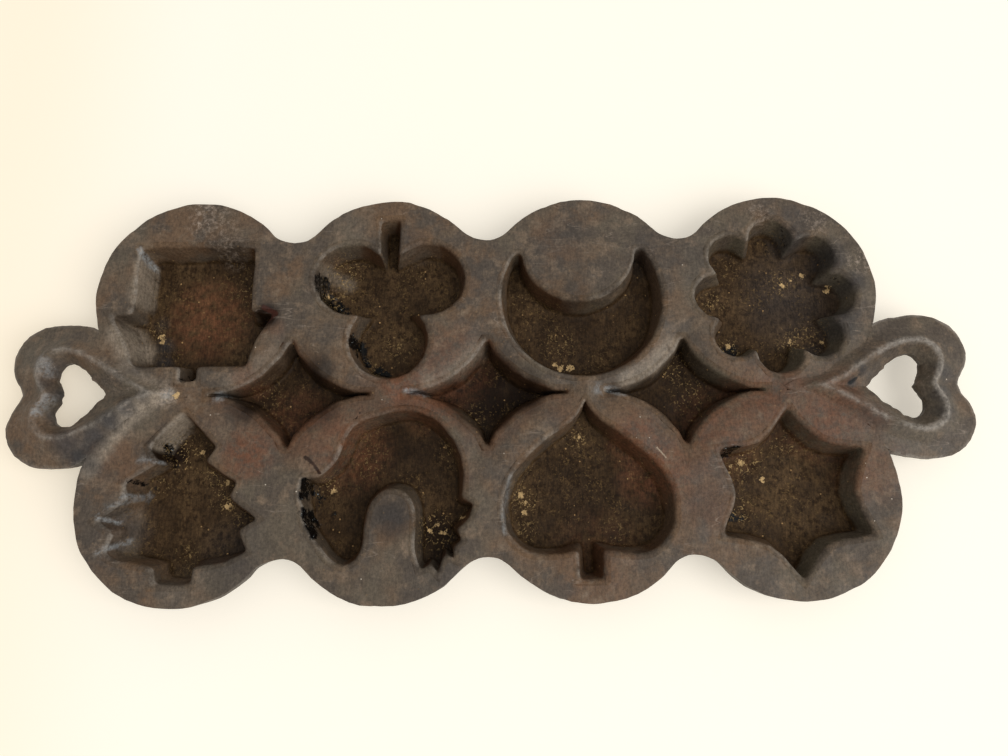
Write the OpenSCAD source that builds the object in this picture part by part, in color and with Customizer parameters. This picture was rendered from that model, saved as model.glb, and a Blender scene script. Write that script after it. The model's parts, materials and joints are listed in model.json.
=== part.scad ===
// Sand-cast iron cookie mould. Eight figure pockets sit in a scalloped plate,
// three concave diamond pockets fill the gaps between the lobes, and a heart-shaped
// loop is cast on at each end. Millimetres. Z = 0 is the face it stands on, +X runs
// along the length, and the photograph's lower edge is -Y.

/* [Plate] */
// radius of each round lobe
lobe_r = 38.2; // [36:0.1:40]
// how far two lobes of a row run into each other
lobe_overlap = 1.4; // [0.6:0.1:2]
// gap between the two rows of lobes
row_gap = 1.6; // [1:0.1:3]
// radius of the hollow between two lobes
valley_r = 12.2; // [10:0.2:15]
// thickness of the plate
plate_t = 4.5; // [3.6:0.1:5.4]

/* [Pockets] */
// depth of the figure pockets below the top of the plate
pocket_depth = 12; // [9:0.25:14]
// thickness of metal under a pocket
floor_t = 4; // [3:0.1:5]
// width of a pocket's collar where it joins the plate
collar_w = 1.8; // [1.5:0.05:2]
// width of the worn, rounded edge of a pocket
worn_w = 0.9; // [0.4:0.05:1.2]
// how far a pocket's wall leans in from rim to floor
lean = 2.8; // [2.2:0.1:3.2]
// metal between the figures' circle and the edge of the lobe
figure_rim = 6.6; // [6:0.1:8]
// metal between the flower's petals and the edge of the lobe
petal_rim = 6.4; // [5.8:0.1:8]
// width of a petal as a multiple of its share of the ring
petal_swell = 1.064; // [1.03:0.002:1.1]
// metal between the star's points and the edge of the lobe
star_rim = 6.2; // [5.6:0.1:8]
// depth of the hollows between the star's points
star_hollow = 9.8; // [8:0.1:11]
// half the metal between the tips of two diamond pockets
diamond_rim = 6.6; // [6.2:0.1:8.5]
// half width of a diamond pocket
diamond_y = 20.6; // [18:0.1:21]
// how far each side of a diamond bows in
diamond_bow = 4.3; // [3:0.1:5]
// run of a diamond's slope at its two long ends
diamond_slope = 7.5; // [5:0.1:9]

/* [Handles] */
// reach of the left handle from the middle of the last lobes
left_reach = 67.5; // [64:0.1:72]
// reach of the right handle from the middle of the last lobes
right_reach = 70.4; // [66:0.1:75]
// half width of a handle across its two bulges
handle_y = 27.6; // [26.5:0.1:29]
// half width of the heart-shaped hole
hole_y = 12.2; // [11:0.1:13.5]
// height of the handle's rounded crest above the plate's top
crest_h = 3.6; // [2.6:0.1:5]
// thickness at the thin outer edge
edge_t = 2.6; // [2:0.1:3.4]

/* [Hidden] */
$fn = 96;
plate_z = floor_t + pocket_depth - plate_t;
top_z = floor_t + pocket_depth;
mid_x = (right_reach - left_reach) / 2;
pitch_x = 2 * lobe_r - lobe_overlap;
lobe_x = [-1.5 * pitch_x, -0.5 * pitch_x, 0.5 * pitch_x, 1.5 * pitch_x];
lobe_y = lobe_r + row_gap / 2;
figure_k = (lobe_r - figure_rim) / 31.6;
petal_tip_r = lobe_r - petal_rim;
star_tip_r = lobe_r - star_rim;
star_hollow_r = star_tip_r - star_hollow;
diamond_x = pitch_x / 2 - diamond_rim;
iron = [0.30, 0.28, 0.26];
dark = [0.24, 0.20, 0.17];

// Curves. A control point is [x, y, corner, lean factor]: corner 1 keeps a sharp
// corner there, and the factor eases the wall's lean on small points.

function unit(v) = v / max(norm(v), 1e-9);
function wrap(P, i) = P[(i + len(P)) % len(P)];
function pt(x, y, c = 0, f = 1) = [x, y, c, f];
function arc(cx, cy, r, a0, a1, n, c0 = 0, c1 = 0) =
  [for (i = [0:n]) pt(cx + r * cos(a0 + (a1 - a0) * i / n),
                      cy + r * sin(a0 + (a1 - a0) * i / n),
                      i == 0 ? c0 : i == n ? c1 : 0)];
function flip(P) = [for (i = [len(P) - 1:-1:0]) [-P[i][0], P[i][1], P[i][2], P[i][3]]];
function scaled(P, k) = [for (p = P) [p[0] * k, p[1] * k, p[2], p[3]]];
function shifted(P, x, y) = [for (p = P) [p[0] + x, p[1] + y, p[2], p[3]]];
function turned(P) = [for (p = P) [-p[0], -p[1], p[2], p[3]]];
function catmull(a, b, c, d, t) =
  0.5 * (2 * b + (c - a) * t + (2 * a - 5 * b + 4 * c - d) * t * t
         + (3 * b - a - 3 * c + d) * t * t * t);
// closed curve through P with n steps on every span that isn't straight
function curve(P, n) = [for (i = [0:len(P) - 1])
  let (a = wrap(P, i - 1), b = P[i], c = wrap(P, i + 1), d = wrap(P, i + 2),
       straight = b[2] == 1 && c[2] == 1)
  for (k = [0:(straight ? 0 : n - 1)])
    let (q = catmull(b[2] == 1 ? 2 * b - c : a, b, c, c[2] == 1 ? 2 * c - b : d, k / n))
    [q[0], q[1], k == 0 ? b[2] : 0, q[3]]];
// every corner of P cut by a small arc of radius r in n steps
function eased(P, r, n) = [for (i = [0:len(P) - 1])
  let (a = wrap(P, i - 1), b = P[i], c = wrap(P, i + 1),
       u = unit([a[0] - b[0], a[1] - b[1]]), v = unit([c[0] - b[0], c[1] - b[1]]),
       cut = min(r, 0.4 * norm([a[0] - b[0], a[1] - b[1]]), 0.4 * norm([c[0] - b[0], c[1] - b[1]])))
  for (k = (b[2] == 1 ? [0:n] : [0:0]))
    let (t = b[2] == 1 ? k / n : 0.5, w = b[2] == 1 ? cut : 0,
         p = (1 - t) * (1 - t) * u * w + t * t * v * w)
    [b[0] + p[0], b[1] + p[1], 0, b[3]]];
// P moved inwards by d along its mitres, or outwards where d is negative
function moved(P, d) = [for (i = [0:len(P) - 1])
  let (a = wrap(P, i - 1), b = P[i], c = wrap(P, i + 1),
       u = unit([b[0] - a[0], b[1] - a[1]]), v = unit([c[0] - b[0], c[1] - b[1]]),
       m = [-u[1] - v[1], u[0] + v[0]] / max(0.45, 1 + u * v),
       e = d > 0 ? d * b[3] : d)
  [b[0] + e * m[0], b[1] + e * m[1], b[2], b[3]]];
function flat(P) = [for (p = P) [p[0], p[1]]];
function at_z(P, z) = [for (p = P) [p[0], p[1], z]];

// Figures, drawn upright about the middle of their lobe, anticlockwise. All but the
// flower and the star are drawn in a circle of radius 31.6 and scaled by figure_k.

house_half = [pt(22.9, -20.3, 1), pt(22.9, 6.8, 1, 0.8), pt(31.6, 7.2, 1, 0.8),
              pt(25.4, 17, 1), pt(21.9, 28.4, 1), pt(3.4, 28.4, 1, 0.7),
              pt(3.4, 34, 1, 0.7)];
house_fig = scaled(curve(shifted(concat(house_half, flip(house_half)), 0.7, 0), 3), figure_k);

club_half = concat([pt(4.3, -30.6, 1, 0.75), pt(3.6, -16.4, 1, 0.75)],
                   arc(14.9, -6.1, 14.8, -120, 84, 12), [pt(12.2, 8.8, 1)],
                   arc(0, 18.1, 15.7, -24, 75, 6));
club_fig = scaled(concat(club_half, [pt(0, 33.8)], flip(club_half)), figure_k);

// the walls lean less towards the moon's two horns
function horned(P) = [for (i = [0:len(P) - 1]) let (e = min(i, len(P) - 1 - i))
  [P[i][0], P[i][1], P[i][2], min(1, 0.3 + 0.24 * e)]];
moon_fig = scaled(concat(horned(arc(0.6, 2.2, 31.6, -35, 218.6, 26, 1, 1)),
                         horned(arc(1.4, -18.8, 22.3, 176, 7, 13, 1, 1))), figure_k);

petal_share = sin(22.5) * petal_swell;
petal_r = petal_tip_r * petal_share / (1 + petal_share);
petal_c = petal_tip_r - petal_r;
notch_r = petal_c * cos(22.5) + sqrt(pow(petal_r, 2) - pow(petal_c * sin(22.5), 2));
flower_fig = shifted([for (a = [0:45:315]) each concat(
  [pt(notch_r * cos(a - 22.5), notch_r * sin(a - 22.5), 1)],
  arc(petal_c * cos(a), petal_c * sin(a), petal_r, a - 64, a + 64, 4))], 0.7, 2.2);

tree_half = [pt(7.3, -30.6, 1), pt(7.3, -24, 1), pt(20, -21.9), pt(26.2, -18.6, 1, 0.7),
             pt(22.8, -11.4, 1), pt(29.6, -7.4, 1, 0.7), pt(18.8, 1, 1), pt(21.3, 6.2, 1, 0.7),
             pt(9, 14.4, 1), pt(13, 19.4, 1, 0.7)];
tree_fig = scaled(curve(shifted(concat(tree_half, [pt(0, 32.6, 1, 0.8)], flip(tree_half)),
                                -0.2, 0), 2), figure_k);

fish_pts = [pt(-30.4, 7.6, 1, 0.5), pt(-31.2, 3.6, 0, 0.8), pt(-31, -0.6, 1, 0.7),
            pt(-29.4, -3.6, 1, 0.7), pt(-30.1, -6.4, 1, 0.7), pt(-27.7, -12), pt(-23.8, -17.4),
            pt(-19.8, -22.4), pt(-14.8, -24.3), pt(-9.8, -22), pt(-7.2, -16.6), pt(-6.5, -8.6), pt(-4.6, -1.6),
            pt(0.6, 2.9), pt(6.2, 2.6), pt(10, -1.4), pt(11.2, -9), pt(10.6, -19.4, 1),
            pt(12.9, -25.8, 1, 0.4), pt(16.6, -23.8, 1, 0.7), pt(19.7, -27.2, 1, 0.4),
            pt(22.2, -20.4, 1, 0.7), pt(26, -22.3, 1, 0.4), pt(25.2, -17.6, 1, 0.7),
            pt(28.5, -15.6, 1, 0.4), pt(26.6, -11.4, 1), pt(31, -7.6), pt(32.7, -2.6, 1, 0.5),
            pt(28.7, -0.4, 1), pt(29.1, 7), pt(28.2, 14), pt(25.3, 21.3), pt(20.4, 27.3),
            pt(14.2, 31.2), pt(7, 32.7), pt(-0.5, 31.4), pt(-7.5, 29.3), pt(-12.9, 26),
            pt(-15.9, 20.4), pt(-18.3, 14.4), pt(-21.6, 10.2), pt(-24.6, 8.2)];
fish_fig = scaled(curve(fish_pts, 2), figure_k);

spade_half = [pt(4.7, -30.2, 1), pt(4.6, -19.9, 1), pt(10.5, -20.9), pt(15, -21.1), pt(21, -20.7),
              pt(26.4, -18), pt(30.2, -12.6), pt(31.5, -6.2), pt(31.2, 0), pt(29, 6.2),
              pt(24.8, 12.2), pt(18.8, 18), pt(12, 23.2), pt(5.8, 27.6, 0, 0.75), pt(2.2, 31.2, 0, 0.35)];
spade_fig = scaled(curve(shifted(concat(spade_half, [pt(0, 35.6, 1, 0.15)], flip(spade_half)),
                                 -0.5, 0), 2), figure_k);

star_fig = shifted(curve([for (a = [0:60:300]) each
  [pt(star_tip_r * cos(a + 30), star_tip_r * sin(a + 30), 1, 0.8),
   pt(star_hollow_r * cos(a + 60), star_hollow_r * sin(a + 60), 0)]], 3), -0.1, 0.5);

// A diamond has four hollow sides. q is its half length, h its half width and b how
// far each side bows in.
function side(q, h, b) = let (c = norm([q, h]), n = [h, q] / c, r = (c * c / 4 + b * b) / (2 * b))
  [for (k = [0:7]) let (t = 2 * k / 7 - 1, s = t * c / 2,
    w = sqrt(r * r - s * s) - (r - b))
    [q / 2 - t * q / 2 - n[0] * w, h / 2 + t * h / 2 - n[1] * w]];
function diamond(q, h, b, e) = let (s = side(q, h, b), m = len(s) - 1)
  [for (g = [0:3], k = [0:m]) let (p = s[g % 2 == 0 ? k : m - k],
    x = max(p[0], e), y = max(p[1], e))
    pt((g == 1 || g == 2 ? -1 : 1) * x, (g > 1 ? -1 : 1) * y)];

// Triangles of the flat face inside an anticlockwise ring P. I lists the points still
// uncut. Every pass cuts off the ears: corners that turn left with no point inside.
function turn(a, b, c) = (b[0] - a[0]) * (c[1] - a[1]) - (b[1] - a[1]) * (c[0] - a[0]);
function within(a, b, c, p) = turn(a, b, p) >= 0 && turn(b, c, p) >= 0 && turn(c, a, p) >= 0;
function is_ear(P, I, i) = let (a = wrap(I, i - 1), b = I[i], c = wrap(I, i + 1))
  turn(P[a], P[b], P[c]) > 1e-7
  && len([for (k = I) if (k != a && k != b && k != c && within(P[a], P[b], P[c], P[k])) k]) == 0;
function ears(P, I) = len(I) < 3 ? [] : len(I) < 4 ? [I] : let (
  even = [for (i = [0:2:len(I) - 2]) if (is_ear(P, I, i)) i],
  odd = len(even) > 0 ? [] : [for (i = [1:2:len(I) - 1]) if (is_ear(P, I, i)) i],
  cut = concat(even, odd))
  len(cut) == 0 ? [for (i = [1:len(I) - 2]) [I[0], I[i], I[i + 1]]] : concat(
    [for (i = cut) [wrap(I, i - 1), I[i], wrap(I, i + 1)]],
    ears(P, [for (i = [0:len(I) - 1]) if (len(search(i, cut)) == 0) I[i]]));

// A pocket shell: outer wall and underside outside, cavity inside, one closed skin.
// rings runs from the edge of the underside up, over the rim and down to the floor.
module skin(rings) {
  n = len(rings[0]);
  m = len(rings);
  polyhedron(
    points = [for (r = rings) each r],
    faces = concat(
      ears(rings[0], [for (i = [0:n - 1]) i]),
      [for (j = [0:m - 2], i = [0:n - 1]) let (k = (i + 1) % n)
        each [[j * n + i, (j + 1) * n + i, (j + 1) * n + k], [j * n + i, (j + 1) * n + k, j * n + k]]],
      [for (t = ears(rings[m - 1], [for (i = [0:n - 1]) i])) [for (k = [2, 1, 0]) (m - 1) * n + t[k]]]),
    convexity = 12);
}
function ring(fig, d) = eased(moved(fig, d), 1.4, 2);
module pocket(fig) {
  skin([at_z(ring(fig, 0.2), 0), at_z(ring(fig, -1), 1.2),
        at_z(ring(fig, -collar_w), plate_z), at_z(ring(fig, -collar_w), top_z),
        at_z(ring(fig, -worn_w / 2), top_z), at_z(ring(fig, worn_w / 2), top_z - worn_w),
        at_z(ring(fig, lean), floor_t + 0.8), at_z(ring(fig, lean + 0.6), floor_t)]);
}
function lobe_fig(fig, col, row) = row == 0
  ? shifted(fig, lobe_x[col] - mid_x, -lobe_y)
  : shifted(turned(fig), lobe_x[col] - mid_x, lobe_y);

module house_pocket() color(dark) pocket(lobe_fig(house_fig, 0, 1));
module club_pocket() color(dark) pocket(lobe_fig(club_fig, 1, 1));
module moon_pocket() color(dark) pocket(lobe_fig(moon_fig, 2, 1));
module flower_pocket() color(dark) pocket(lobe_fig(flower_fig, 3, 1));
module tree_pocket() color(dark) pocket(lobe_fig(tree_fig, 0, 0));
module fish_pocket() color(dark) pocket(lobe_fig(fish_fig, 1, 0));
module spade_pocket() color(dark) pocket(lobe_fig(spade_fig, 2, 0));
module star_pocket() color(dark) pocket(lobe_fig(star_fig, 3, 0));

// Rings of a diamond pocket: its rim, and the foot and bed of its slope.
function diamond_rim_at(c) = shifted(diamond(diamond_x, diamond_y, diamond_bow, 0.9), c * pitch_x - mid_x, 0);
function diamond_low_at(c, k, e) = shifted(
  diamond(diamond_x - k * diamond_slope, diamond_y - k * lean * 1.15, diamond_bow - 0.4, e),
  c * pitch_x - mid_x, 0);
module diamond_pocket(c) {
  rim = diamond_rim_at(c);
  skin([at_z(diamond_low_at(c, 0.27, 1.2), 0), at_z(moved(rim, -1), 1.2),
        at_z(moved(rim, -collar_w), plate_z), at_z(moved(rim, -collar_w), top_z),
        at_z(moved(rim, -worn_w / 2), top_z), at_z(moved(rim, worn_w / 2), top_z - worn_w),
        at_z(diamond_low_at(c, 1, 0.7), floor_t + 0.8), at_z(diamond_low_at(c, 1.12, 0.5), floor_t)]);
}
module left_diamond_pocket() color(dark) diamond_pocket(-1);
module middle_diamond_pocket() color(dark) diamond_pocket(0);
module right_diamond_pocket() color(dark) diamond_pocket(1);

// Plate: eight round lobes, the hollows between them, and the pockets' openings. The
// lower edge runs from left to right, and the upper edge is the same turned half round.
valley_y = lobe_y + sqrt(pow(lobe_r + valley_r, 2) - pow(pitch_x / 2, 2));
touch_a = atan2(valley_y - lobe_y, pitch_x / 2);
end_a = acos(min(1, (lobe_y - 0.1) / lobe_r));
lower_edge = [for (i = [0:3]) each concat(
  arc(lobe_x[i], -lobe_y, lobe_r, i == 0 ? 90 + end_a : 180 + touch_a,
      i == 3 ? 450 - end_a : 360 - touch_a, i == 0 || i == 3 ? 56 : 16),
  [for (k = [1:(i < 3 ? 11 : 0)])
    let (t = 180 - touch_a + (2 * touch_a - 180) * k / 12)
    pt(lobe_x[i] + pitch_x / 2 + valley_r * cos(t), -valley_y + valley_r * sin(t))])];
module outline() translate([-mid_x, 0]) polygon(flat(concat(lower_edge, turned(lower_edge))));
module openings() {
  for (f = [[house_fig, 0, 1], [club_fig, 1, 1], [moon_fig, 2, 1], [flower_fig, 3, 1],
            [tree_fig, 0, 0], [fish_fig, 1, 0], [spade_fig, 2, 0], [star_fig, 3, 0]])
    polygon(flat(ring(lobe_fig(f[0], f[1], f[2]), -collar_w)));
  for (c = [-1:1])
    polygon(flat(moved(diamond_rim_at(c), -collar_w)));
}
module mould_plate() color(iron)
  translate([0, 0, plate_z]) linear_extrude(plate_t) difference() { outline(); openings(); }

// Handles. Both closed hearts are drawn from the middle of the last lobes and start on the
// centre line. The solid is a loft between them: a thin outer edge, a broad slope, a
// rounded crest and a steep inner side. Its straps run on to the plate and meet there.
heart_half = [pt(-2, 0, 1), pt(0.9, 1.5), pt(9.5, 4.8), pt(17.5, 10), pt(25.5, 16.4), pt(31.5, 21.6),
              pt(37.5, 25.6), pt(44.5, 27.2), pt(50.5, 27.6), pt(57.1, 26.6), pt(62.9, 23.2),
              pt(66.3, 18.2), pt(67.5, 12.4), pt(66.2, 7), pt(63.8, 2.8), pt(62.9, 0, 1)];
hole_half = [pt(31.3, 0, 1), pt(32.1, 1), pt(33.3, 2.4), pt(35.1, 4.4), pt(37.3, 6.6), pt(39.5, 8.8),
             pt(41.7, 10.6), pt(44.1, 11.9), pt(46.5, 12.2), pt(48.7, 11.4), pt(50.3, 9.7),
             pt(50.9, 7.6), pt(50.6, 5.4), pt(49.7, 3.4), pt(48.7, 1.5), pt(47.9, 0, 1)];
tip_x = hole_half[0][0];
drawn_reach = heart_half[12][0];
handle_dy = 0.7;
// x is scaled to the handle's reach from the tip of its hole outwards
function heart(H, k, reach) =
  let (c = curve(concat(H, [for (i = [len(H) - 2:-1:1]) [H[i][0], -H[i][1], 0, 1]]), 2),
       kx = (reach - tip_x) / (drawn_reach - tip_x))
  [for (p = c) [p[0] < tip_x ? p[0] : tip_x + (p[0] - tip_x) * kx, p[1] * k, p[0]]];
// where the straps start, on the centre line, the loft is lifted to fill the gap between the lobes
function lifted(z, x) =
  let (u = min(1, max(0, (14 - x) / 11)), goal = z < plate_z + edge_t + 0.1 ? top_z - 0.4 : top_z + 0.4)
  z > plate_z ? z + (max(z, goal) - z) * u * u * (3 - 2 * u) : z;
// ring of the loft at height z: fraction k of the way in on the loop, j on the straps
function heart_ring(k, j, z, side_i) =
  let (reach = side_i == 0 ? left_reach : right_reach,
       outer = heart(heart_half, handle_y / 27.6, reach), inner = heart(hole_half, hole_y / 12.2, reach))
  [for (i = [0:len(outer) - 1])
    let (a = outer[i], w = min(1, max(0, (tip_x + 10.2 - a[2]) / 26)),
         p = a + (k + (j - k) * w * w * (3 - 2 * w)) * (inner[i] - a))
    [(side_i == 0 ? -1 : 1) * (lobe_x[3] + p[0]) - mid_x, p[1] + handle_dy, lifted(z, p[0])]];
module heart_handle(side_i) {
  e = plate_z + edge_t;
  c = top_z + crest_h;
  rings = [for (r = [[0, 0, plate_z], [0, 0, e], [0.09, 0.05, e + 0.9], [0.25, 0.11, top_z - 0.3],
                     [0.38, 0.2, top_z + crest_h * 0.14], [0.52, 0.3, top_z + crest_h * 0.53],
                     [0.62, 0.38, c - crest_h * 0.2], [0.69, 0.45, c], [0.78, 0.57, c - crest_h * 0.2],
                     [0.9, 0.77, top_z + 0.1], [1, 1, e], [1, 1, plate_z]])
    heart_ring(r[0], r[1], r[2], side_i)];
  n = len(rings[0]);
  m = len(rings);
  difference() {
    polyhedron(
      points = [for (r = rings) each r],
      faces = [for (j = [0:m - 1], i = [0:n - 1])
        let (k = (i + 1) % n, a = j * n, b = ((j + 1) % m) * n)
        each side_i == 0
          ? [[a + i, b + i, b + k], [a + i, b + k, a + k]]
          : [[a + i, b + k, b + i], [a + i, a + k, b + k]]],
      convexity = 8);
    translate([0, 0, plate_z - 1]) linear_extrude(plate_t + 1) outline();
  }
}
module left_heart_handle() color(iron) heart_handle(0);
module right_heart_handle() color(iron) heart_handle(1);

mould_plate();
house_pocket();
club_pocket();
moon_pocket();
flower_pocket();
tree_pocket();
fish_pocket();
spade_pocket();
star_pocket();
left_diamond_pocket();
middle_diamond_pocket();
right_diamond_pocket();
left_heart_handle();
right_heart_handle();
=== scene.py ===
# %% [markdown]
# # A seasoned iron cookie mould
# The object is one flat casting of iron. Eight round lobes carry eight figure pockets,
# three small diamond pockets lie between the rows, and a heart-shaped loop at each end
# is the handle. This lesson takes the measured solids of the mould and gives them the
# skin of an old, much used casting: soft rims, uneven edges, dark seasoning, a little
# rust and the crumbs of the last batch.
#
# The solids come in as a fixed frame, in metres, with the table at Z = 0.

import json
import math

import bmesh
import bpy
import numpy
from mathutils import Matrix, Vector, kdtree

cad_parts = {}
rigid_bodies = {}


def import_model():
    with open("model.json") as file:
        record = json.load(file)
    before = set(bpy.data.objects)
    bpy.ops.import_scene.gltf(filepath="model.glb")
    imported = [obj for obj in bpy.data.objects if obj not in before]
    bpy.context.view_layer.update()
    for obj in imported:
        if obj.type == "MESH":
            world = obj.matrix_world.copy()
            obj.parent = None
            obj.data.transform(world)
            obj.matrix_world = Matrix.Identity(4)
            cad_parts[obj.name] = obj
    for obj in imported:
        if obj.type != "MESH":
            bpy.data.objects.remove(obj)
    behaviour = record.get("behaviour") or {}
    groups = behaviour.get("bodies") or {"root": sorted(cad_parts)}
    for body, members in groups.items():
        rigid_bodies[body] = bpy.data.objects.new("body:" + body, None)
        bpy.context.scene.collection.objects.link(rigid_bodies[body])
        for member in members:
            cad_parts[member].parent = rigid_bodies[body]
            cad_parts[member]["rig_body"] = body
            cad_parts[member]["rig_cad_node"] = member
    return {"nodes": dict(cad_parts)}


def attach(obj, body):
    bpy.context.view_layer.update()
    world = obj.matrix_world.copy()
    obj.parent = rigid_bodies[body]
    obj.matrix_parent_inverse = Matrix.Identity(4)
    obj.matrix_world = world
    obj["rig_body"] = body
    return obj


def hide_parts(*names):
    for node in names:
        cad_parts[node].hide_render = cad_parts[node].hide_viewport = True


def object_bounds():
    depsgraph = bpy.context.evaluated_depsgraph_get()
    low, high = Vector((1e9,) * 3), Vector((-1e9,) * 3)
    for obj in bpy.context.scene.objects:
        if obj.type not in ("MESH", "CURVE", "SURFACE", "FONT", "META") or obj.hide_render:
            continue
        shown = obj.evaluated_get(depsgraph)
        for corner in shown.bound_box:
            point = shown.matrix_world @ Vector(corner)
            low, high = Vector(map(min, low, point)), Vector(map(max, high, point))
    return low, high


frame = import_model()
cad_low, cad_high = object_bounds()
MM = 0.001
bpy.ops.object.select_all(action="DESELECT")
print("mould:", [round(1000 * (b - a), 1) for a, b in zip(cad_low, cad_high)], "mm")

# %% [markdown]
# ## A casting to work on
# A founder gets the real surface from packed sand, so nothing on it is quite straight.
# Each solid is copied, and its loose triangles are welded into one skin. The copy is
# then cut by planes a couple of millimetres apart, all on one common grid. The pieces of
# a casting meet in the same plane, and with common cuts their edges keep the same
# corners, so they can be pushed out of true together and no seam opens.


# %% Copy and weld a solid
def casting_of(node, name):
    """A welded copy of one measured solid, ready to be worked on."""
    bpy.ops.object.select_all(action="DESELECT")
    source = frame["nodes"][node]
    source.select_set(True)
    bpy.context.view_layer.objects.active = source
    bpy.ops.object.duplicate()
    piece = bpy.context.active_object
    piece.name = name
    piece.data.name = name
    piece.parent = None
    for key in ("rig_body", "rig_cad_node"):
        if key in piece:
            del piece[key]
    bpy.ops.object.mode_set(mode="EDIT")
    bpy.ops.mesh.select_mode(type="VERT")
    bpy.ops.mesh.select_all(action="SELECT")
    bpy.ops.mesh.remove_doubles(threshold=0.002 * MM)
    bpy.ops.mesh.tris_convert_to_quads(face_threshold=math.radians(1), shape_threshold=math.radians(180))
    bpy.ops.object.mode_set(mode="OBJECT")
    return piece


# %% [markdown]
# ## Soft rims
# Cast edges are never knife-sharp, and these have been wiped for many years. The rim
# of each pocket, the corner at its floor and the outer edge of the plate are bevelled
# before anything else. The edges are found by their height and by how sharply their
# two faces meet. The outer edge of the plate is the longest closed run of sharp edges.


# %% Bevel the edges that lie at one height
def edges_at(skin, height, low_turn, high_turn):
    """Level edges at this height whose faces meet at a turn between these degrees."""
    return [e for e in skin.edges if len(e.link_faces) == 2
            and all(abs(v.co.z - height) < 0.03 * MM for v in e.verts)
            and low_turn < math.degrees(e.calc_face_angle(0)) < high_turn]


def longest_run(edges):
    """The largest group of edges that hang together."""
    left, best = set(edges), []
    while left:
        run, todo = [], [left.pop()]
        while todo:
            edge = todo.pop()
            run.append(edge)
            for vert in edge.verts:
                for other in vert.link_edges:
                    if other in left:
                        left.remove(other)
                        todo.append(other)
        if sum(e.calc_length() for e in run) > sum(e.calc_length() for e in best):
            best = run
    return best


def soften(piece, height, low_turn, high_turn, width, steps, only_longest=False, keep=None):
    """Bevels the chosen edges, and says how many there were."""
    bpy.ops.object.select_all(action="DESELECT")
    piece.select_set(True)
    bpy.context.view_layer.objects.active = piece
    bpy.ops.object.mode_set(mode="EDIT")
    bpy.ops.mesh.select_mode(type="EDGE")
    bpy.ops.mesh.select_all(action="DESELECT")
    skin = bmesh.from_edit_mesh(piece.data)
    chosen = edges_at(skin, height, low_turn, high_turn)
    if only_longest:
        chosen = longest_run(chosen)
    if keep:
        chosen = [e for e in chosen if keep((e.verts[0].co + e.verts[1].co) / 2)]
    for edge in chosen:
        edge.select_set(True)
    bmesh.update_edit_mesh(piece.data)
    if chosen:
        bpy.ops.mesh.bevel(offset=width, segments=steps, profile=0.5, clamp_overlap=True)
    bpy.ops.object.mode_set(mode="OBJECT")
    return len(chosen)


# %% Cut a casting on the common grid
CELL = 2 * MM
GRID_START = (0.37 * MM, 0.23 * MM, 0.5 * MM)


def cut_on_grid(piece, axes, between=0):
    """Cuts the skin by the grid planes across each of these axes, and once more between them."""
    cuts, step = 0, CELL / (1 + between)
    low = [min(v.co[k] for v in piece.data.vertices) for k in range(3)]
    high = [max(v.co[k] for v in piece.data.vertices) for k in range(3)]
    bpy.ops.object.mode_set(mode="EDIT")
    for axis in axes:
        first = math.ceil((low[axis] - GRID_START[axis]) / step + 0.01)
        last = math.floor((high[axis] - GRID_START[axis]) / step - 0.01)
        for i in range(first, last + 1):
            point, normal = [0, 0, 0], [0, 0, 0]
            point[axis], normal[axis] = GRID_START[axis] + i * step, 1
            bpy.ops.mesh.select_all(action="SELECT")
            bpy.ops.mesh.bisect(plane_co=point, plane_no=normal)
            cuts += 1
    bpy.ops.object.mode_set(mode="OBJECT")
    return cuts


# %% Take out the diagonals of the flat faces
def clear_diagonals(piece):
    """Leaves only grid cells on the level faces, so that they bend evenly."""
    def on_grid(edge):
        for axis in (0, 1):
            a, b = ((v.co[axis] - GRID_START[axis]) / CELL for v in edge.verts)
            if abs(a - round(a)) < 0.004 and abs(a - b) < 0.004:
                return True
        return False

    bpy.ops.object.mode_set(mode="EDIT")
    bpy.ops.mesh.select_mode(type="EDGE")
    bpy.ops.mesh.select_all(action="DESELECT")
    skin = bmesh.from_edit_mesh(piece.data)
    count = 0
    for edge in skin.edges:
        faces = edge.link_faces
        if (len(faces) == 2 and all(abs(f.normal.z) > 0.9999 for f in faces)
                and faces[0].normal.dot(faces[1].normal) > 0.9999 and not on_grid(edge)):
            edge.select_set(True)
            count += 1
    bmesh.update_edit_mesh(piece.data)
    bpy.ops.mesh.dissolve_edges(use_verts=False)
    bpy.ops.object.mode_set(mode="OBJECT")
    return count


# %% Copy, weld, soften and cut all fourteen
WORK = {
    "mould_plate": ("iron_plate", (0, 1)),
    "house_pocket": ("house_cup", (0, 1, 2)),
    "club_pocket": ("club_cup", (0, 1, 2)),
    "moon_pocket": ("moon_cup", (0, 1, 2)),
    "flower_pocket": ("flower_cup", (0, 1, 2)),
    "tree_pocket": ("tree_cup", (0, 1, 2)),
    "fish_pocket": ("fish_cup", (0, 1, 2)),
    "spade_pocket": ("spade_cup", (0, 1, 2)),
    "star_pocket": ("star_cup", (0, 1, 2)),
    "left_diamond_pocket": ("left_diamond_cup", (0, 1, 2)),
    "middle_diamond_pocket": ("middle_diamond_cup", (0, 1, 2)),
    "right_diamond_pocket": ("right_diamond_cup", (0, 1, 2)),
    "left_heart_handle": ("left_heart_loop", (0, 1)),
    "right_heart_handle": ("right_heart_loop", (0, 1)),
}
TOP, WORN, FLOOR = 16 * MM, 0.9 * MM, 4 * MM
castings, soft = {}, 0
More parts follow.
